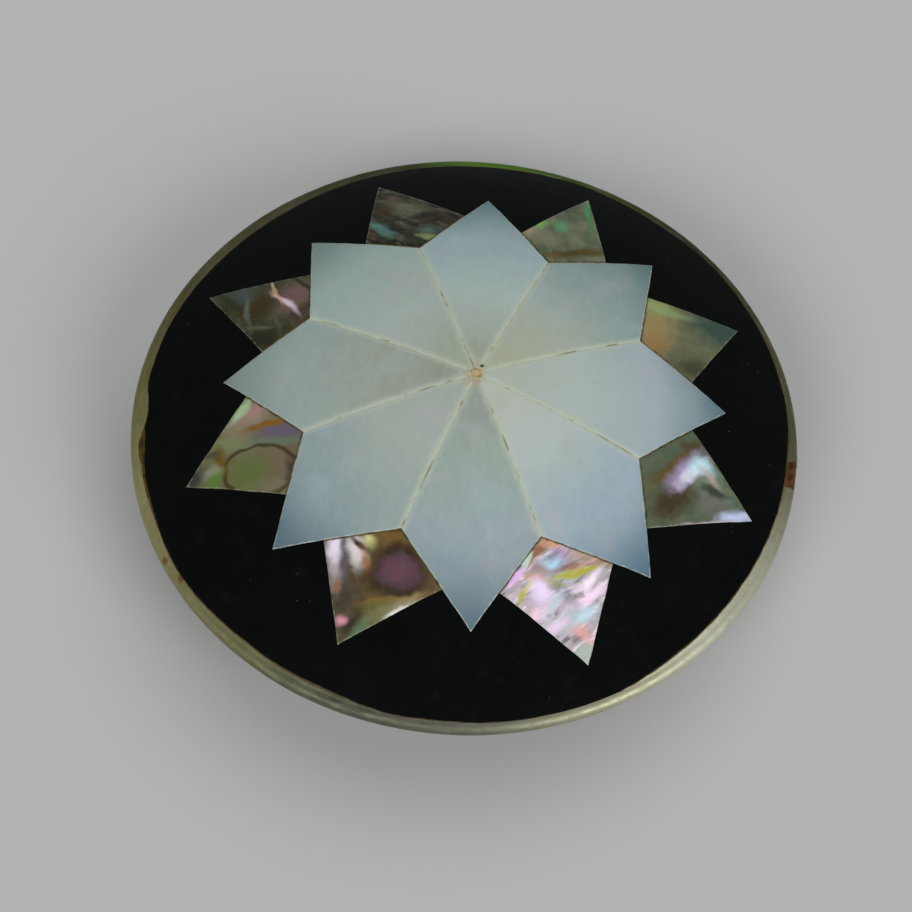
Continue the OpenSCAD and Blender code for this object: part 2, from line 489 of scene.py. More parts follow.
# Each petal's colours at its root, middle, shoulders and tip: the nacre's own tone with painted shading in
# it, which makes some petals and tips lighter or darker than others and the tips darker than the middle
PEARL_TONES_WITH_PAINTED_SHADE = {
    1: ((146, 155, 138), (164, 180, 174), (146, 168, 169), (92, 121, 125)),
    2: ((158, 163, 140), (156, 166, 152), (132, 152, 150), (90, 117, 118)),
    3: ((164, 172, 160), (163, 177, 170), (154, 168, 171), (90, 117, 126)),
    4: ((173, 179, 168), (168, 180, 176), (144, 163, 172), (90, 116, 132)),
    5: ((138, 147, 138), (142, 158, 149), (139, 154, 159), (92, 113, 124)),
    6: ((152, 162, 152), (154, 163, 155), (135, 151, 152), (88, 109, 120)),
    7: ((138, 145, 130), (146, 154, 141), (142, 158, 153), (124, 137, 132)),
    8: ((146, 156, 138), (158, 171, 163), (150, 168, 162), (114, 134, 131)),
}

# The rim's patina at shares of a turn from +X, counter-clockwise, with painted light in it: the strong
# green near a quarter turn is a painted reflection at the back, and the pale stops from 0.83 to 0.92 are a
# painted highlight at the lower right
RIM_PATINA_AND_PAINTED_LIGHT = (
    (0.00, (88, 87, 58)), (0.05, (92, 90, 64)), (0.09, (72, 73, 43)), (0.13, (54, 60, 36)),
    (0.20, (76, 96, 38)), (0.25, (92, 144, 34)), (0.29, (62, 68, 26)), (0.36, (84, 84, 54)),
    (0.45, (98, 98, 58)), (0.50, (128, 128, 78)), (0.56, (158, 155, 104)), (0.62, (130, 128, 84)),
    (0.70, (76, 80, 62)), (0.76, (100, 102, 86)), (0.83, (176, 174, 144)), (0.88, (206, 206, 182)),
    (0.92, (184, 186, 162)), (0.96, (138, 136, 110)), (1.00, (88, 87, 58)),
)

# Each abalone point: two ground colours, then its growth ripples' turn from the point's axis,
# width, strength, dark colour and light colour
POINT_GROUNDS = {
    1: ((84, 92, 70), (110, 114, 92), 30, 0.7, 0.3, (66, 74, 52), (122, 128, 104)),
    2: ((92, 96, 70), (104, 106, 78), 20, 0.6, 0.15, (78, 82, 60), (122, 124, 92)),
    3: ((76, 90, 70), (88, 94, 74), 60, 0.8, 0.2, (60, 70, 52), (112, 120, 100)),
    4: ((160, 154, 156), (192, 178, 186), -72, 0.5, 0.9, (112, 108, 112), (240, 218, 238)),
    5: ((76, 64, 40), (100, 86, 54), 32, 0.8, 0.3, (56, 46, 30), (122, 112, 80)),
    6: ((94, 94, 64), (108, 104, 78), -24, 0.9, 0.25, (78, 76, 46), (124, 126, 92)),
    7: ((46, 48, 26), (62, 64, 42), -50, 0.9, 0.4, (34, 34, 18), (84, 88, 70)),
    8: ((26, 24, 14), (66, 64, 44), 38, 0.5, 0.85, (16, 15, 8), (88, 92, 70)),
}

# Marks painted over the ground in turn: colour, place along and across, half length, half width,
# turn, strength and kind, which is a spot if none is given. Along runs from the valley between the
# petals to the point's tip. A glow is softer than a spot, a patch clearer, and a ring only a line.
POINT_MARKS = {}
POINT_MARKS[1] = (
    ((122, 122, 96), 2.8, 1.8, 1.6, 0.8, 60, 0.6),
    ((122, 188, 84), 4.2, 2.3, 0.6, 0.5, -40, 1, "glow"),
    ((84, 150, 106), 4.7, 0.6, 0.6, 0.5, 20, 0.9, "glow"),
    ((64, 78, 60), 7.4, 0.8, 1.3, 0.8, -20, 0.7),
    ((64, 146, 92), 7.7, -0.6, 1.5, 0.16, 24, 1, "glow"),
    ((74, 122, 78), 5.9, -1.5, 1.0, 0.24, 24, 0.8, "glow"),
    ((76, 66, 26), 2.1, -1.4, 2.8, 0.5, -54, 1),
    ((110, 76, 40), 1.0, -0.2, 0.7, 0.3, -50, 0.5, "glow"),
    ((160, 142, 122), 3.0, 2.8, 0.8, 0.5, 0, 0.8),
)
POINT_MARKS[2] = (
    ((146, 130, 84), 1.5, 1.2, 2.2, 2.0, 40, 0.9),
    ((146, 106, 58), 1.1, -0.3, 0.9, 0.7, 60, 0.6, "glow"),
    ((146, 156, 100), 2.4, 3.1, 1.5, 0.8, -30, 0.85, "glow"),
    ((134, 160, 112), 3.9, 2.0, 1.6, 0.34, -26, 0.6, "glow"),
    ((50, 72, 64), 7.2, 0.2, 2.6, 2.0, -20, 0.95),
    ((56, 56, 34), 3.2, -3.2, 1.7, 1.2, -40, 0.85),
)
POINT_MARKS[3] = (
    ((112, 128, 106), 5.2, 0.6, 2.2, 1.4, -20, 0.9),
    ((100, 96, 92), 6.2, -0.6, 1.8, 0.9, -10, 0.8),
    ((60, 50, 26), 3.3, -1.6, 2.2, 1.2, 64, 1),
    ((88, 68, 24), 2.5, 0.9, 2.8, 0.5, 68, 1),
    ((70, 62, 34), 3.2, 3.0, 1.2, 0.5, 30, 0.8),
    ((156, 140, 172), 3.4, 0.9, 2.1, 0.8, 70, 1),
    ((206, 206, 220), 3.9, 1.1, 1.7, 0.5, 66, 0.95),
    ((156, 192, 198), 4.5, 2.1, 1.0, 0.5, -22, 0.9),
    ((190, 236, 244), 4.1, 1.8, 0.6, 0.55, 60, 1, "glow"),
    ((186, 160, 160), 5.0, 1.4, 1.1, 0.3, -24, 0.7, "glow"),
    ((50, 54, 46), 5.9, 0.5, 1.1, 0.42, 14, 0.95),
    ((184, 194, 226), 7.9, -0.5, 1.4, 0.5, 34, 1),
    ((178, 164, 176), 6.4, -1.8, 2.6, 0.14, 36, 0.8),
)
POINT_MARKS[4] = (
    ((206, 150, 110), 0.5, 0.4, 0.9, 0.4, 60, 0.9),
    ((150, 92, 34), 1.1, -0.9, 1.3, 0.34, 120, 1),
    ((150, 128, 130), 2.2, -1.0, 0.9, 0.6, 60, 0.8),
    ((176, 148, 190), 1.7, 0.9, 0.9, 0.6, 60, 0.95),
    ((168, 212, 236), 2.4, 0.3, 0.9, 0.6, 40, 1, "glow"),
    ((176, 150, 126), 2.4, 2.9, 1.8, 0.7, 64, 0.95),
    ((150, 92, 60), 2.6, 1.3, 2.0, 0.24, 84, 0.8),
    ((172, 168, 56), 3.0, 1.3, 1.9, 0.3, 86, 1),
    ((168, 166, 62), 3.3, -0.3, 0.9, 0.24, 60, 0.9),
    ((178, 176, 58), 3.2, -2.3, 1.4, 0.24, -52, 1),
    ((196, 138, 96), 2.5, -1.5, 0.8, 0.25, 60, 0.8),
    ((234, 216, 246), 3.6, -1.4, 0.9, 0.7, 0, 1, "glow"),
    ((240, 204, 220), 4.9, -1.8, 1.6, 0.4, -74, 1),
    ((244, 216, 240), 4.9, 1.8, 1.8, 0.42, -80, 1),
    ((128, 126, 134), 4.2, 0.1, 1.2, 0.45, 30, 0.8),
    ((166, 186, 192), 5.8, -0.5, 1.6, 0.6, -80, 0.8),
    ((222, 158, 150), 6.8, 0.2, 0.7, 0.45, 20, 0.85, "glow"),
    ((192, 220, 232), 5.9, 0.8, 1.0, 0.3, -80, 0.9, "glow"),
    ((250, 232, 250), 3.9, 2.1, 1.0, 0.3, -66, 1, "glow"),
    ((176, 200, 214), 4.6, -0.9, 1.0, 0.3, -60, 0.8, "glow"),
    ((236, 206, 232), 5.9, -1.2, 0.9, 0.3, -74, 0.9, "glow"),
    ((224, 162, 160), 7.5, 0.5, 0.6, 0.3, 60, 0.8),
    ((168, 182, 168), 8.5, 0.1, 1.1, 0.7, 0, 0.95),
    ((196, 234, 214), 1.2, -1.6, 1.1, 0.28, -52, 1),
    ((226, 174, 230), 2.0, -2.6, 0.9, 0.3, -52, 1),
)
POINT_MARKS[5] = (
    ((62, 54, 42), 5.8, -1.5, 2.0, 1.3, 30, 0.95),
    ((180, 170, 176), 3.8, -3.0, 1.7, 0.5, 28, 0.9, "glow"),
    ((226, 216, 232), 3.0, -3.5, 1.15, 0.5, 28, 1),
    ((86, 80, 84), 3.4, -2.45, 1.8, 0.36, 28, 0.95),
    ((214, 206, 204), 2.7, -1.9, 1.4, 0.66, 44, 1),
    ((50, 38, 32), 2.2, -1.95, 0.9, 0.2, 84, 1),
    ((206, 204, 134), 1.7, -1.55, 0.55, 0.3, 60, 1, "glow"),
    ((178, 116, 76), 3.1, -0.9, 1.2, 0.36, 50, 0.85),
    ((112, 84, 34), 1.1, 0.0, 1.5, 0.9, 80, 0.95),
    ((80, 61, 28), 2.8, 1.3, 2.7, 2.1, 116, 0.9),
    ((48, 35, 16), 3.1, 1.4, 2.1, 1.3, 116, 0.9, "patch"),
    ((48, 35, 16), 2.5, 1.3, 1.75, 1.6, 116, 0.9, "patch"),
    ((48, 35, 16), 1.9, 1.0, 1.2, 1.2, 26, 0.9, "patch"),
    ((64, 49, 52), 3.1, 1.4, 1.45, 0.7, 116, 1, "patch"),
    ((64, 49, 52), 2.5, 1.3, 1.1, 0.95, 116, 1, "patch"),
    ((64, 49, 52), 1.9, 1.0, 0.6, 0.6, 26, 1, "patch"),
    ((96, 62, 76), 2.6, 1.35, 1.2, 0.8, 116, 0.95, "glow"),
    ((134, 96, 42), 4.6, 1.8, 2.2, 0.24, 124, 0.9),
    ((152, 140, 106), 4.9, 2.3, 1.7, 0.5, 142, 0.95),
    ((92, 92, 40), 5.5, 0.9, 2.0, 0.3, 132, 0.8),
    ((104, 104, 66), 6.2, 1.2, 2.0, 0.5, 142, 0.9),
    ((84, 112, 78), 7.3, 0.8, 0.8, 0.5, 0, 0.8),
    ((232, 232, 226), 4.8, 2.75, 0.9, 0.3, 144, 1),
    ((44, 38, 28), 7.2, 0.1, 1.1, 0.45, 0, 0.95, "glow"),
    ((206, 140, 156), 7.3, -0.6, 0.34, 0.27, 0, 1, "glow"),
    ((140, 86, 42), 5.4, -2.0, 0.5, 0.3, 20, 0.8),
)
POINT_MARKS[6] = (
    ((142, 122, 106), 3.1, -2.9, 1.7, 1.0, 20, 0.9),
    ((156, 182, 142), 3.5, -3.8, 1.3, 0.4, 33, 1),
    ((164, 124, 116), 3.0, -3.1, 1.1, 0.5, 30, 0.7, "glow"),
    ((126, 120, 96), 3.8, -2.2, 2.2, 0.8, -10, 0.6),
    ((116, 124, 84), 5.0, -1.3, 2.2, 0.6, -26, 0.9),
    ((96, 84, 104), 1.4, -0.8, 2.0, 0.7, -22, 1),
    ((84, 118, 96), 2.4, -0.3, 1.9, 0.36, -24, 0.9),
    ((122, 84, 22), 2.2, -1.8, 1.9, 0.3, -6, 1),
    ((108, 92, 74), 3.2, 1.2, 2.6, 1.8, -24, 0.95),
    ((86, 102, 48), 4.6, 1.2, 1.6, 1.2, 0, 0.9, "glow"),
    ((60, 46, 20), 3.7, 1.4, 2.7, 1.95, -24, 0.9, "ring"),
    ((52, 42, 28), 1.6, 2.7, 1.6, 0.6, 70, 0.9),
    ((98, 76, 14), 6.2, -0.6, 1.2, 0.45, 86, 1),
    ((130, 138, 110), 7.0, -0.1, 0.7, 0.5, 0, 0.9),
    ((84, 114, 44), 7.1, 0.7, 0.9, 0.4, 40, 0.9),
    ((46, 50, 46), 8.6, -0.4, 1.3, 0.9, 0, 0.95),
    ((70, 62, 44), 6.8, -1.5, 0.9, 0.3, -30, 0.8),
)
POINT_MARKS[7] = (
    ((98, 84, 72), 2.0, -1.4, 2.2, 1.9, 40, 1),
    ((116, 82, 86), 2.5, -1.6, 1.1, 0.7, 40, 0.8, "glow"),
    ((60, 46, 30), 1.0, -0.6, 1.4, 0.5, 76, 0.8),
    ((54, 46, 14), 4.5, 0.0, 1.9, 1.25, 60, 1),
    ((214, 190, 204), 2.5, -0.9, 1.2, 0.17, -22, 1, "glow"),
    ((178, 152, 112), 4.3, -2.2, 0.9, 0.12, -44, 0.9),
    ((190, 156, 122), 3.5, -1.3, 0.9, 0.14, -40, 0.9),
    ((38, 32, 16), 2.2, -2.9, 1.7, 0.22, -26, 0.95),
    ((88, 96, 80), 5.3, 0.3, 2.3, 0.24, -52, 0.95),
    ((84, 90, 70), 3.2, 1.9, 1.1, 0.2, 20, 0.9),
    ((66, 76, 72), 6.4, -0.8, 1.0, 0.9, 0, 0.9, "glow"),
    ((34, 42, 18), 6.8, 0.2, 1.2, 0.36, -26, 0.95),
    ((32, 32, 14), 2.6, 2.9, 1.5, 1.0, 30, 0.85),
)
POINT_MARKS[8] = (
    ((48, 34, 18), 6.0, 0.8, 1.6, 1.0, 30, 0.8),
    ((44, 30, 16), 2.8, -2.4, 1.6, 0.9, 60, 0.8),
    ((84, 126, 118), 3.9, 2.0, 1.9, 0.34, 41, 0.95, "glow"),
    ((78, 114, 104), 2.9, 1.8, 0.8, 0.34, 20, 0.9, "glow"),
    ((98, 104, 80), 5.0, -0.9, 1.6, 0.8, 30, 0.8, "glow"),
    ((108, 74, 44), 6.7, -0.3, 0.4, 0.24, 0, 0.8, "glow"),
    ((128, 146, 92), 1.1, -1.0, 0.7, 0.3, 60, 0.9, "glow"),
    ((86, 106, 98), 1.7, -1.6, 0.9, 0.44, 60, 0.8, "glow"),
    ((72, 44, 32), 3.0, 2.9, 0.5, 0.3, 0, 0.8, "glow"),
    ((24, 22, 13), 2.4, 0.6, 1.9, 0.3, 30, 0.95),
    ((24, 22, 13), 1.2, 0.6, 1.2, 0.3, -40, 0.8),
    ((24, 22, 13), 3.6, -1.6, 1.2, 0.35, 80, 0.8),
)

# Where each kind of mark fades out and where it is full, as a share of its half size
MARK_EDGES = {"spot": (1.5, 0.3), "glow": (1.9, 0.1), "patch": (1.35, 0.65), "ring": (None, 0.01)}
RING_W = 0.22

def pinhole(f, tone):
    """Small dark pit in the joint of two petals, close to the centre."""
    pit = f.ellipse(*(star_at + PINHOLE_AT), 0.16, 0.13, 20)
    return f.tint(tone, pit, 1.4, 0.6, 0.9, (48, 44, 34))


def pearl_finish(number):
    """Mother-of-pearl: slow clouds of blue, green and rose grey, creamier to the middle, with painted
    shading that darkens each petal towards its tip.
    """
    f = Finish(f"mother_of_pearl_{number}", coat_weight=0.3, coat_roughness=0.12)
    root, middle, shoulder, tip = PEARL_TONES_WITH_PAINTED_SHADE[number]
    bent = f.shifted(1.2, 4.0)
    own = f.vector("ADD", bent, (number * 9.0, number * 5.0, 0))
    reach = f.ellipse(*star_at, STAR_REACH, STAR_REACH, 0, bent)
    # painted shading: each petal's ramp from root to tip carries the shade of how the light fell
    tone = f.ramp(reach, [(0.15, root), (0.40, middle), (0.66, shoulder)])
    clouds = f.noise(5.0, 2.0, 0.5, own)
    tone = f.tint(tone, clouds, 0.46, 0.30, 0.3, (156, 172, 180))
    tone = f.tint(tone, clouds, 0.54, 0.70, 0.35, (150, 164, 148))
    tone = f.tint(tone, f.noise(3.2, 1.0, 0.5, own), 0.58, 0.74, 0.3, (168, 162, 166))
    silk = f.noise(0.5, 3.0, 0.6, f.vector("MULTIPLY", own, (1, 0.35, 1)))
    tone = f.tint(tone, silk, 0.35, 0.7, 0.12, (182, 190, 186))
    tone = f.tint(tone, reach, 0.68, 1.0, 1.0, tip)
    # painted shade: the outermost tips darken further
    tone = f.tint(tone, reach, 0.93, 1.06, 0.35, (58, 78, 84))
    seam = f.frayed("seam", 0.45, -0.07, 0.07)
    tone = f.tint(tone, seam, 0.5, 0.05, 0.45, (176, 186, 168))
    tone = f.tint(tone, seam, 0.1, 0.0, 0.3, (180, 182, 160))
    tone = f.tint(tone, f.frayed("edge", 0.5, -0.02, 0.07), 0.12, 0.03, 0.55, (184, 188, 168))
    stain = f.ellipse(*(star_at + STAIN_AT), 1.1, 0.8, 60)
    stain = f.math("ADD", stain, f.uneven(0.5, -0.4, 0.4, 2.0))
    tone = f.tint(tone, stain, 1.2, 0.2, 0.6, (168, 146, 104))
    return f.finished(pinhole(f, tone), f.uneven(0.9, 0.26, 0.4), f.noise(0.8, 2.0), 0.004)


def abalone_finish(number):
    """Abalone: a ground colour, growth ripples, then drawn eyes, bands and contour lines."""
    f = Finish(f"abalone_{number}", coat_weight=0.35, coat_roughness=0.1)
    valley, tip = point_ends(number)
    axis = (tip - valley) / np.linalg.norm(tip - valley)
    bearing = math.degrees(math.atan2(axis[1], axis[0]))
    calm = f.shifted(0.42, 1.7, 1.0)
    bent = f.shifted(0.05, 0.45, 2.0, calm)
    first, second, turn, width, strength, dark, light = POINT_GROUNDS[number]
    tone = f.mix(f.between(f.noise(1.8, 3.0, 0.6, bent), 0.34, 0.68), first, second)
    ripple = f.noise(width, 2.5, 0.55, f.turned_to((0, 0, 0), bearing + turn, (5.0, 1.0, 1.0), bent))
    rippled = f.between(ripple, 0.44, 0.34, 0, strength)
    shone = f.between(ripple, 0.54, 0.68, 0, strength)
    tone = f.mix(shone, f.mix(rippled, tone, dark), light)
    ragged = f.between(f.noise(0.6, 2.0, 0.5, bent), 0.25, 0.75, -0.14, 0.14)
    for colour, along, across, half_long, half_wide, turn, weight, *kind in POINT_MARKS[number]:
        kind = kind[0] if kind else "spot"
        x, y = valley + axis * along + np.array([-axis[1], axis[0]]) * across
        drawn = calm if kind in ("ring", "patch") else bent
        reach = f.ellipse(x, y, half_long, half_wide, bearing + turn, drawn)
        outer, inner = MARK_EDGES[kind]
        if kind == "ring":
            reach = f.math("ABSOLUTE", f.math("SUBTRACT", reach, 1.0))
            outer = RING_W / half_wide
        elif kind != "patch":
            reach = f.math("ADD", reach, ragged)
        tone = f.tint(tone, reach, outer, inner, weight, colour)
    tone = f.mix(f.math("MULTIPLY", rippled, 0.35), tone, dark)
    tone = f.mix(f.math("MULTIPLY", shone, 0.25), tone, light)
    tone = f.tint(tone, f.frayed("seam", 0.4, -0.03, 0.08), 0.16, 0.02, 0.75, (52, 42, 26))
    tone = f.tint(tone, f.frayed("edge", 0.4, -0.03, 0.08), 0.12, 0.03, 0.32, (165, 170, 145))
    return f.finished(tone, f.uneven(0.5, 0.2, 0.36), ripple, 0.012)


def resin_finish():
    """Polished black resin with a little dust in it."""
    f = Finish("black_resin_gloss", specular_ior_level=0.12)
    tone = f.mix(f.noise(5.0, 2.0), (5, 6, 5), (10, 12, 11))
    grains = f.node("TexVoronoi", {"Vector": None, "Scale": 1 / 0.75}).outputs["Distance"]
    dust = f.math("MULTIPLY", f.between(grains, 0.085, 0.03), f.between(f.noise(2.0), 0.52, 0.7))
    tone = f.mix(f.math("MULTIPLY", dust, 0.5), tone, (96, 102, 98))
    tone = f.tint(tone, f.noise(1.6, 4.0, 0.6), 0.55, 0.8, 0.05, (60, 66, 62))
    rough = f.between(f.noise(1.1, 4.0, 0.6), 0.35, 0.75, 0.13, 0.2)
    return f.finished(tone, rough, f.noise(0.6, 3.0), 0.003)


def glue_finish(name, light, dark, size=0.5):
    """Resin glue in a joint, pale where thin and brown where dirt has got in."""
    f = Finish(name, specular_ior_level=0.25)
    tone = f.mix(f.between(f.noise(size, 3.0, 0.6), 0.46, 0.66), light, dark)
    tone = f.tint(tone, f.noise(0.3, 2.0), 0.62, 0.76, 0.4, (92, 72, 48))
    return f.finished(pinhole(f, tone), f.uneven(0.3, 0.4, 0.6, 2.0), f.noise(0.12, 3.0), 0.02)


def worn_metal(name, tone_of, metallic=0.85, brushed=(1, 1, 1), rough=(0.34, 0.52),
               tarnish=0.3, shine=0.25):
    """Nickel silver: tarnish clouds, fine rubbed lines, small pits and dark spots."""
    f = Finish(name, metallic=metallic)
    along = brushed(f) if callable(brushed) else f.vector("MULTIPLY", f.mm, brushed)
    tone = f.tint(tone_of(f), f.noise(3.5, 4.0, 0.6), 0.4, 0.7, tarnish, (98, 88, 66))
    tone = f.tint(tone, f.noise(0.3, 3.0, 0.6, along), 0.42, 0.68, shine, (212, 208, 190))
    tone = f.tint(tone, f.noise(0.35, 3.0, 0.6), 0.68, 0.76, 2 * tarnish, (66, 54, 36))
    relief = f.mix(0.5, f.noise(0.14, 3.0, 0.6, along), f.noise(0.9, 3.0))
    return f.finished(tone, f.between(f.noise(0.8, 4.0, 0.6), 0.3, 0.72, *rough), relief, 0.025)


def turn_share(f, start, at=None):
    """Share of a whole turn round the lid, from 0 to 1, that begins at an angle."""
    parts = f.node("SeparateXYZ", {0: at}).outputs
    turn = f.math("DIVIDE", f.math("ARCTAN2", parts[1], parts[0]), 2 * math.pi)
    return f.math("FRACT", f.math("ADD", turn, 1 - start / 360))


def rubbed_round(f):
    """Coordinates that stretch fine lines along the rim; they begin in the strip's joint."""
    along = f.math("MULTIPLY", turn_share(f, JOINT_START + 3), 24.0)
    out = f.vector("LENGTH", f.vector("MULTIPLY", f.mm, (1, 1, 0)))
    height = f.node("SeparateXYZ", {0: None}).outputs[2]
    return f.node("CombineXYZ", {0: along, 1: out, 2: height}).outputs[0]


def rim_patina_and_painted_light(f):
    """The rim's patina changes round the lid, with a painted green reflection at the back and a painted
    highlight at the lower right, and two spots on it have rusted.
    """
    # the ramp holds the rim's patina plus a painted green reflection and a painted highlight
    tone = f.ramp(turn_share(f, 0, f.shifted(1.2, 5.0)), RIM_PATINA_AND_PAINTED_LIGHT)
    tone = f.tint(tone, f.noise(0.5, 4.0, 0.65), 0.5, 0.72, 0.4, f.mix(0.5, tone, (44, 42, 26)))
    for angle, r in RUST_SPOTS:
        spot = f.ellipse(*polar(r, angle), 0.34, 0.2, angle + 70, f.shifted(0.2, 0.5))
        tone = f.tint(tone, spot, 1.4, 0.4, 0.9, (118, 66, 28))
    return tone


def plain_tone(f):
    return f.mix(f.noise(7.0, 3.0, 0.55), (154, 150, 132), (178, 175, 158))


def inner_tone(f):
    return f.mix(f.noise(6.0, 3.0, 0.55), (176, 173, 158), (194, 192, 178))


# ---- the star's pieces

def from_middle(corner):
    return np.linalg.norm(corner - star_at)


def petal_parts(number):
    """Corners of a petal and the inset of each of its edges."""
    corners = corners_of(f"pearl_petal_{number}")
    near = [from_middle(c) < 1 for c in corners]
    ends = [near[k] + near[(k + 1) % len(corners)] for k in range(len(corners))]
    return corners, [PETAL_GAP if count == 1 else 0.0 for count in ends]


def point_parts(number):
    """Corners of an abalone point from its valley on, and the inset of each of its edges."""
    corners = corners_of(f"abalone_point_{number}")
    first = int(np.argmin([from_middle(c) for c in corners]))
    return corners[first:] + corners[:first], [2 * POINT_GAP, *[0.0] * (len(corners) - 2), 2 * POINT_GAP]


def point_ends(number):
    """The corner in the valley between two petals, and the one at the tip."""
    corners, _ = point_parts(number)
    return corners[0], max(corners, key=from_middle)


def inlay_piece(name, node, slot, corners, amounts, material, seed):
    """One flat-backed shell piece, ground to the dome, with its sharp edge just broken."""
    outline = inset(corners, amounts)
    loop = hand_cut(dense(outline))
    keep = lambda spots: inside(spots, loop)
    extra = np.concatenate([rings_in(loop, BEVEL_DEPTHS), grid_in(loop, INLAY_STEP, 0.6, keep)])
    flat, faces, (rim,) = triangulate([loop], extra[keep(extra)], keep)

    def reach(glued):
        """Distance of each point to the edges glued to a neighbour, or to the others."""
        best = np.full(len(flat), FAR)
        for k, amount in enumerate(amounts):
            if (amount > 0) == glued:
                edge = [outline[k], outline[(k + 1) % len(outline)]]
                run = hand_cut(dense(edge, 0.25, closed=False))
                best = np.minimum(best, distance(flat, run, closed=False))
        return best

    seam, edge = reach(True), reach(False)
    bevel = np.clip(1 - np.minimum(seam, edge) / BEVEL_W, 0, 1) ** 2 * BEVEL_H
    waves = np.array([wobble(x, y, 4.0, seed) for x, y in flat]) * WAVE_H
    top = dome(flat[:, 0], flat[:, 1]) - INLAY_SINK + waves - bevel
    start = len(flat)
    points = [(x, y, z) for (x, y), z in zip(flat, top)]
    points += [(*flat[k], dome(*flat[k], INLAY_T)) for k in rim]
    faces += flipped(band(rim, range(start, len(points))))
    _, under, (under_rim,) = triangulate([[flat[k] for k in rim]], [], keep)
    place = {spot: start + k for k, spot in enumerate(under_rim)}
    faces += flipped([[place[k] for k in f] for f in under])
    pad = [FAR] * len(rim)
    marks = {"seam": [*seam, *pad], "edge": [*edge, *pad]}
    make_piece(name, points, faces, slot, material, (node,), marks)


def bead(path, half, sink, seed, swell=0.3):
    """Points and faces of glue along a joint: a low strip whose width wanders a little."""
    loops = []
    for k, (x, y) in enumerate(path):
        run = path[min(k + 1, len(path) - 1)] - path[max(k - 1, 0)]
        side = np.array([-run[1], run[0]]) / np.linalg.norm(run)
        wide = half * (1 + swell * wobble(x, y, 0.5, seed))
        low = sink + 0.01 * wobble(x, y, 0.4, seed + 1)
        spots = [(-wide, low + 0.01), (0, low), (wide, low + 0.01), (wide, GLUE_DEPTH), (-wide, GLUE_DEPTH)]
        loop = []
        for across, down in spots:
            px, py = np.array([x, y]) + side * across
            loop.append((px, py, dome(px, py) - down))
        loops.append(loop)
    points, faces = swept(loops)
    return points, flipped(faces)


def petal_glue(material):
    """Cream glue in the eight joints that run out from the centre, and a patch under their middle."""
    parts = []
    for number in STAR:
        path = hand_cut(dense([star_at, point_ends(number)[0]], closed=False))
        parts.append(bead(path, PETAL_GAP + 0.02, 0.018, 11.0 + number))
    for a in (0, 60, 120):
        path = dense([star_at - polar(0.62, a), star_at + polar(0.62, a)], closed=False)
        parts.append(bead(path, 0.4, 0.035, 30.0, swell=0.1))
    make_piece("petal_glue", *merged(parts), "brown_resin", material)


def point_glue(material):
    """Thin brown glue between each abalone point and the two petals beside it."""
    parts = []
    for number in STAR:
        corners, amounts = point_parts(number)
        line = inset(corners, [amount / 2 for amount in amounts])
        path = hand_cut(dense([line[1], line[0], line[-1]], closed=False))
        parts.append(bead(path, POINT_GAP + 0.02, 0.025, 21.0 + number))
    make_piece("point_glue", *merged(parts), "brown_resin", material)


def centre_drop(material):
    """Small uneven drop of brown resin where the petals meet."""
    steps = 48
    sink, depth = 0.004, 0.6
    points = [(*star_at, dome(*star_at) - sink)]
    for reach, drop in ((0.16, 0.0), (0.3, 0.006), (0.42, 0.02), (0.48, 0.05)):
        for k in range(steps):
            a = 360 * k / steps
            x, y = star_at + polar(reach * (1 + 0.5 * wobble(*polar(1, a), 0.6, 31.0)), a)
            points.append((x, y, dome(x, y) - sink - drop))
    points += [(x, y, z - depth) for x, y, z in points[-steps:]]
    points.append((*star_at, points[0][2] - depth))
    rings = [range(first, first + steps) for first in range(1, len(points) - 1, steps)]
    faces = fan(0, rings[0]) + flipped(fan(len(points) - 1, rings[-1]))
    for here, there in zip(rings, rings[1:]):
        faces += flipped(band(here, there))
    make_piece("centre_drop", points, faces, "brown_resin", material, ("centre_fill",))


# ---- resin and rim

def bulge(a, centre, half):
    """Smooth bump round an angle, the short way round the circle."""
    return hump((a - centre + 180) % 360 - 180, 0, half)


def wander(a):
    return sum(far * bulge(a, centre, half) for centre, half, far in EDGE_WANDER)


def metal_edge(a):
    """Inner radius of the rim's metal at an angle: ragged, wide then cut back at the left."""
    x, y = polar(24, a)
    r = field_r + 0.05 * wobble(x, y, 1.2, 41.0) + 0.025 * wobble(x, y, 0.35, 42.0) + wander(a)
    return r - 0.4 * bulge(a, 183.5, 7.5) + 0.26 * bulge(a, 190.3, 4.5) + 0.13 * bulge(a, 198, 12)


def resin_edge(a):
    """Radius where the black resin ends; brown resin fills what is left of the bed."""
    x, y = polar(24, a)
    own = field_r - 0.06 + 0.03 * wobble(x, y, 0.9, 43.0) - 0.22 * bulge(a, 188.5, 9) + wander(a)
    return min(own, metal_edge(a) - 0.05 - 0.02 * wobble(x, y, 0.5, 44.0))


def star_loop():
    """Outline of the star's bed, counter-clockwise."""
    corners = []
    for number in STAR:
        corners.append(max(petal_parts(number)[0], key=from_middle))
        point, _ = point_parts(number)
        corners += [point[1], point_ends(number)[1], point[-1]]
    corners.sort(key=lambda c: math.atan2(*(c - star_at)[::-1]))
    return hand_cut(dense(corners))


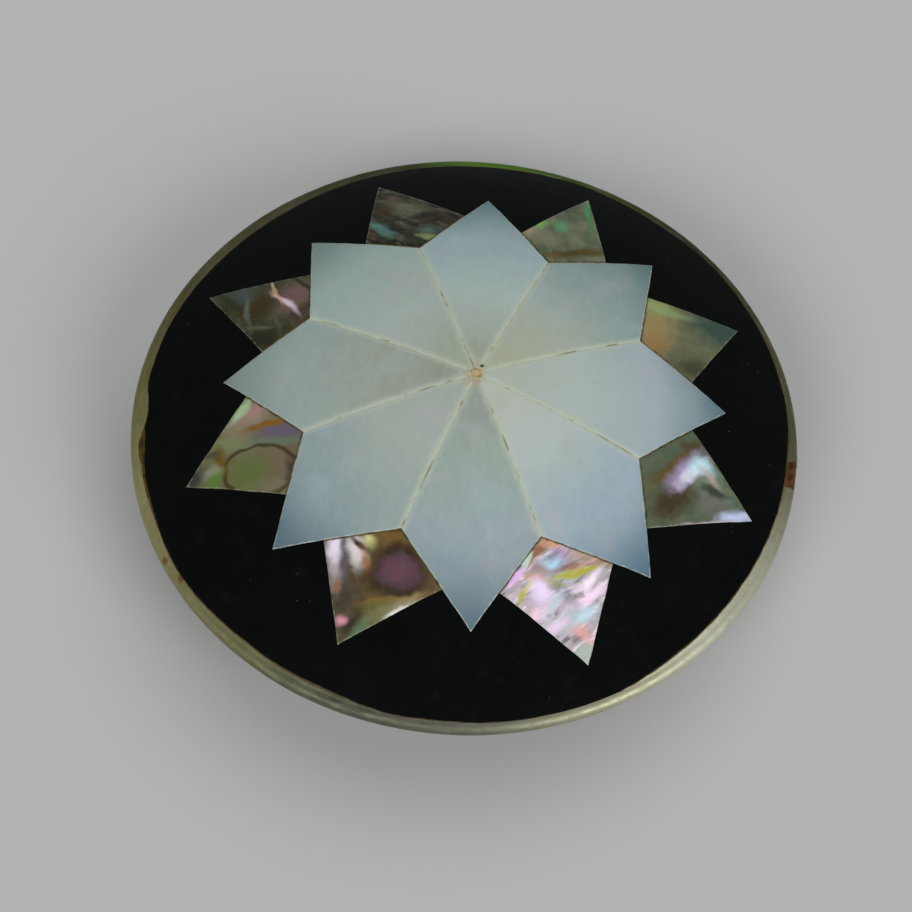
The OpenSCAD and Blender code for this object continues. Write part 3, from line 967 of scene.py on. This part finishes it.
def resin_field(material):
    """Black resin with the dome's polish on top and the star's bed sunk in it."""
    steps = 720
    outer = [polar(resin_edge(360 * k / steps), 360 * k / steps) for k in range(steps)]
    star = star_loop()
    in_star = lambda spots: inside(spots, star)
    keep = lambda spots: inside(spots, outer) & ~in_star(spots)
    extra = grid_in(outer, RESIN_STEP, 0.5, keep)
    flat, faces, (rim, bed) = triangulate([outer, star], extra[distance(extra, star) > 0.4], keep)
    waves = np.array([wobble(x, y, 3.0, 51.0) for x, y in flat]) * WAVE_H
    top = dome(flat[:, 0], flat[:, 1]) - RESIN_SINK + waves
    points = [(x, y, z) for (x, y), z in zip(flat, top)]

    start = len(points)
    points += [(*flat[k], dome(*flat[k], INLAY_T)) for k in bed]
    faces += band(bed, range(start, len(points)))
    extra = grid_in(star, 1.2, 0.6, in_star)
    floor, under, (floor_rim,) = triangulate([[flat[k] for k in bed]], extra, in_star)
    place = {spot: start + k for k, spot in enumerate(floor_rim)}
    for k, (x, y) in enumerate(floor):
        if k not in place:
            place[k] = len(points)
            points.append((x, y, dome(x, y, INLAY_T)))
    faces += [tuple(place[k] for k in f) for f in under]

    before = rim
    for share in (1.0, 0.86, 0.7, 0.5, 0.3, 0.1):
        ring = range(len(points), len(points) + steps)
        for x, y in flat[rim] * share:
            z = hollow_mid + math.sqrt(sheet_r**2 - x * x - y * y)
            points.append((x, y, max(z, sheet_z) if share < 1 else sheet_z))
        faces += band(ring, before)
        before = ring
    faces += flipped(fan(len(points), before))
    points.append((0, 0, hollow_mid + sheet_r))
    make_piece("resin_dome", points, faces, "black_resin", material, ("resin_field",))


def joint_end(r):
    """Angle past the joint's square end where the other end of the strip begins."""
    return float(np.interp(r, [field_r - 0.5, (field_r + lid_r) / 2, lid_r + 0.5], [2.8, 6.1, 3.4]))


def rim_section(a, sunk=0.0):
    """Closed (radius, height) loop of the rim strip at an angle, or of resin sunk in its joint."""
    x, y = polar(24.5, a)
    inner = resin_edge(a) - 0.03 if sunk else metal_edge(a)
    outer = lid_r - 0.035 - 0.03 * wobble(x, y, 5.0, 61.0) - 0.015 * wobble(x, y, 0.7, 62.0) - sunk
    shoulder = lid_r - 0.66 + 0.05 * wobble(x, y, 3.0, 63.0)
    top = []
    for r in np.linspace(inner, shoulder, 7):
        top.append((r, dome(r, 0) - RIM_SINK - sunk + 0.012 * wobble(r * 3, a, 1.5, 64.0)))
    top[0] = (inner, top[0][1] - 0.03)
    foot_r = 0.3
    high, low = top[-1][1], closing_z + foot_r
    round_top = []
    for t in np.radians(np.linspace(12, 90, 8)):
        round_top.append((shoulder + (outer - shoulder) * math.sin(t), low + (high - low) * math.cos(t)))
    foot = arc(outer - foot_r, low, foot_r, 0, -90, 6)[1:]
    back = [(field_r, closing_z), (field_r, sheet_z + 0.02), (inner, sheet_z + 0.04)]
    return back + top + round_top + foot


def rim_loop(a, shares_end):
    """Section of the strip as points; the joint's slit end leans with the radius."""
    loop = []
    for r, z in rim_section(a):
        end = JOINT_START + joint_end(r)
        angle = end + (JOINT_START + 360 - end) * shares_end
        crease = 0.07 * hump(angle % 360, CREASE - 1.4 * (r - 24.7), 0.22)
        loop.append((*polar(r, angle), z - (crease if z > closing_z + 0.6 else 0)))
    return loop


def rim_band(material):
    """The strip from one end of its joint round to the other."""
    shares = np.unique(np.concatenate([np.linspace(0, 1, 1440), np.linspace(*CREASE_SHARES, 60)]))
    loops = [rim_loop(JOINT_START + JOINT_TURN + share * (360 - JOINT_TURN), share) for share in shares]
    make_piece("rim_band", *swept(loops), "nickel_silver", material, ("rim_strip",))


def rim_joint(material):
    """Brown resin between the strip's two ends."""
    loops = []
    for share in np.linspace(0, 1, 24):
        section = rim_section(JOINT_START + 3 * share, sunk=0.03)
        loops.append([(*polar(r, JOINT_START + joint_end(r) * share), z) for r, z in section])
    make_piece("rim_joint_resin", *swept(loops), "brown_resin", material, ("joint_fill",))


def edge_glue(material):
    """Thin brown line between the resin and the rim, broad in the notch at the left."""
    loops = []
    low = sheet_z + 0.05
    for a in np.arange(0, 360, 0.25):
        inner, outer = resin_edge(a) - 0.02, metal_edge(a) + 0.02
        high = dome(outer, 0)
        section = [(inner, low), (inner, dome(inner, 0) - 0.03), ((inner + outer) / 2, high - 0.02),
                   (outer, high - 0.035), (outer, low)]
        loops.append([(*polar(r, a), z) for r, z in section])
    make_piece("edge_glue", *swept(loops, wrap=True), "brown_resin", material)


# ---- metal parts

def base_pan(material):
    """Deep round pan with a rolled bottom edge and a softened lip."""
    lip = BASE_SHEET / 2
    bore_r = wall_r - BASE_SHEET
    inner_edge = BASE_EDGE_R - BASE_SHEET
    rings = (0.0, 4.0, 9.0, 14.0)
    profile = [(r, 0.0) for r in rings]
    profile += arc(wall_r - BASE_EDGE_R, BASE_EDGE_R, BASE_EDGE_R, -90, 0, 24)
    profile += [(wall_r, base_top - 2.4), (wall_r, base_top - 0.8)]
    profile += arc(wall_r - lip, base_top - lip, lip, 0, 180, 14)
    profile += [(bore_r, base_top - 0.8), (bore_r, base_top - 2.4)]
    profile += arc(bore_r - inner_edge, BASE_EDGE_R, inner_edge, 0, -90, 20)
    profile += [(r, BASE_SHEET) for r in rings[::-1]]
    make_piece("base_pan", *turned(profile), "nickel_silver", material, ("base_cup",), body="base")


def lid_sheet(material):
    """Pressed sheet under the resin: a shallow dome inside a flat border."""
    border = math.sqrt(sheet_r**2 - (sheet_z - hollow_mid) ** 2)
    outer = field_r - 0.02
    profile = [(r, hollow_mid + math.sqrt(hollow_r**2 - r * r)) for r in np.linspace(0, mouth_r, 24)]
    profile += [(mouth_r + 0.1, closing_z), (outer, closing_z), (outer, sheet_z)]
    profile += [(r, hollow_mid + math.sqrt(sheet_r**2 - r * r)) for r in np.linspace(border, 0, 24)]
    make_piece("lid_sheet", *turned(profile), "nickel_silver", material, ("lid_plate",))


def lid_ring(material):
    """Ring under the lid that drops inside the base, open round the hinge, its lower edge rounded."""
    low, high = flange_low[2], flange_high[2]
    lip = FLANGE_T / 2
    section = [(mouth_r, high), (mouth_r, low + lip)]
    section += arc(mouth_r + lip, low + lip, lip, 180, 360, 12)[1:]
    section += [(flange_r, high)]
    turns = np.linspace(90 + FLANGE_OPENING / 2, 450 - FLANGE_OPENING / 2, 300)
    points, faces = swept([[(*polar(r, a), z) for r, z in section] for a in turns])
    make_piece("lid_ring", points, flipped(faces), "nickel_silver", material, ("lid_flange",))


# ---- camera, lights and floor

def turn_of(direction, roll=0.0):
    """Rotation that looks along a direction, then rolls round it."""
    look = Vector(direction).to_track_quat("-Z", "Y")
    return (look.to_matrix() @ Matrix.Rotation(math.radians(roll), 3, "Z")).to_quaternion()


def placed(name, data, turn=None):
    """New object in the scene, turned as given."""
    thing = bpy.data.objects.new(name, data)
    if turn:
        thing.rotation_mode = "QUATERNION"
        thing.rotation_quaternion = turn
    bpy.context.scene.collection.objects.link(thing)
    return thing


def make_camera():
    rim_top = Vector((0, 0, rim_top_z))
    place = (Vector(CAMERA_AT) + rim_top) * MM
    aim = (Vector(CAMERA_AIM) + rim_top) * MM
    data = bpy.data.cameras.new("camera")
    data.lens = CAMERA_LENS
    data.sensor_width = 36.0
    data.clip_start = 0.005
    data.clip_end = 10.0
    camera = placed("camera", data, turn_of(aim - place, CAMERA_ROLL))
    camera.location = place
    bpy.context.scene.camera = camera


def make_floor():
    grey = Finish("pale_floor", roughness=0.9, specular_ior_level=0.1, base_color=srgb(180, 180, 180))
    mesh = bpy.data.meshes.new("floor")
    side = FLOOR_HALF
    corners = [(-side, -side, 0), (side, -side, 0), (side, side, 0), (-side, side, 0)]
    mesh.from_pydata(corners, [], [(0, 1, 2, 3)])
    mesh.materials.append(grey.material)
    floor = placed("floor", mesh)


def make_studio():
    for name, (toward, strength, spread, glossy) in SUNS.items():
        data = bpy.data.lights.new(name, "SUN")
        data.energy = strength
        data.angle = math.radians(spread)
        lamp = placed(name, data, turn_of(-Vector(toward)))
        lamp.visible_glossy = glossy
    world = bpy.data.worlds.new("studio")
    world.use_nodes = True
    back = world.node_tree.nodes["Background"]
    back.inputs["Color"].default_value = (0.9, 0.95, 1.0, 1.0)
    back.inputs["Strength"].default_value = 0.13
    bpy.context.scene.world = world
    bpy.context.scene.view_settings.view_transform = "Standard"


# ---- the whole object

def build_lid():
    for number in STAR:
        inlay_piece(f"petal_{number}", f"pearl_petal_{number}", "mother_of_pearl",
                    *petal_parts(number), pearl_finish(number), 70.0 + number)
    for number in STAR:
        inlay_piece(f"point_{number}", f"abalone_point_{number}", "abalone",
                    *point_parts(number), abalone_finish(number), 80.0 + number)
    petal_glue(glue_finish("cream_glue", (176, 182, 160), (136, 128, 98), 1.6))
    point_glue(glue_finish("point_glue_brown", (96, 84, 54), (42, 34, 20)))
    centre_drop(glue_finish("centre_resin", (178, 160, 118), (136, 100, 56)))
    resin_field(resin_finish())
    rim_band(worn_metal("rim_metal", rim_patina_and_painted_light, metallic=0.6, brushed=rubbed_round,
                        rough=(0.44, 0.6), tarnish=0.12, shine=0.08))
    rim_joint(glue_finish("joint_resin", (84, 50, 20), (48, 30, 13), 0.7))
    edge_glue(glue_finish("edge_resin", (74, 54, 22), (34, 26, 12), 0.8))


def build_metal():
    plain = worn_metal("outer_metal", plain_tone, brushed=(1, 1, 4))
    lining = worn_metal("inner_metal", inner_tone, rough=(0.28, 0.42), tarnish=0.16)
    base_pan(plain)
    lid_sheet(lining)
    lid_ring(plain)
    for node in ("base_hinge_leaf", "lid_hinge_knuckle", "hinge_pin"):
        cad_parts[node].data.materials[0] = plain


make_camera()
make_studio()
make_floor()
build_lid()
build_metal()
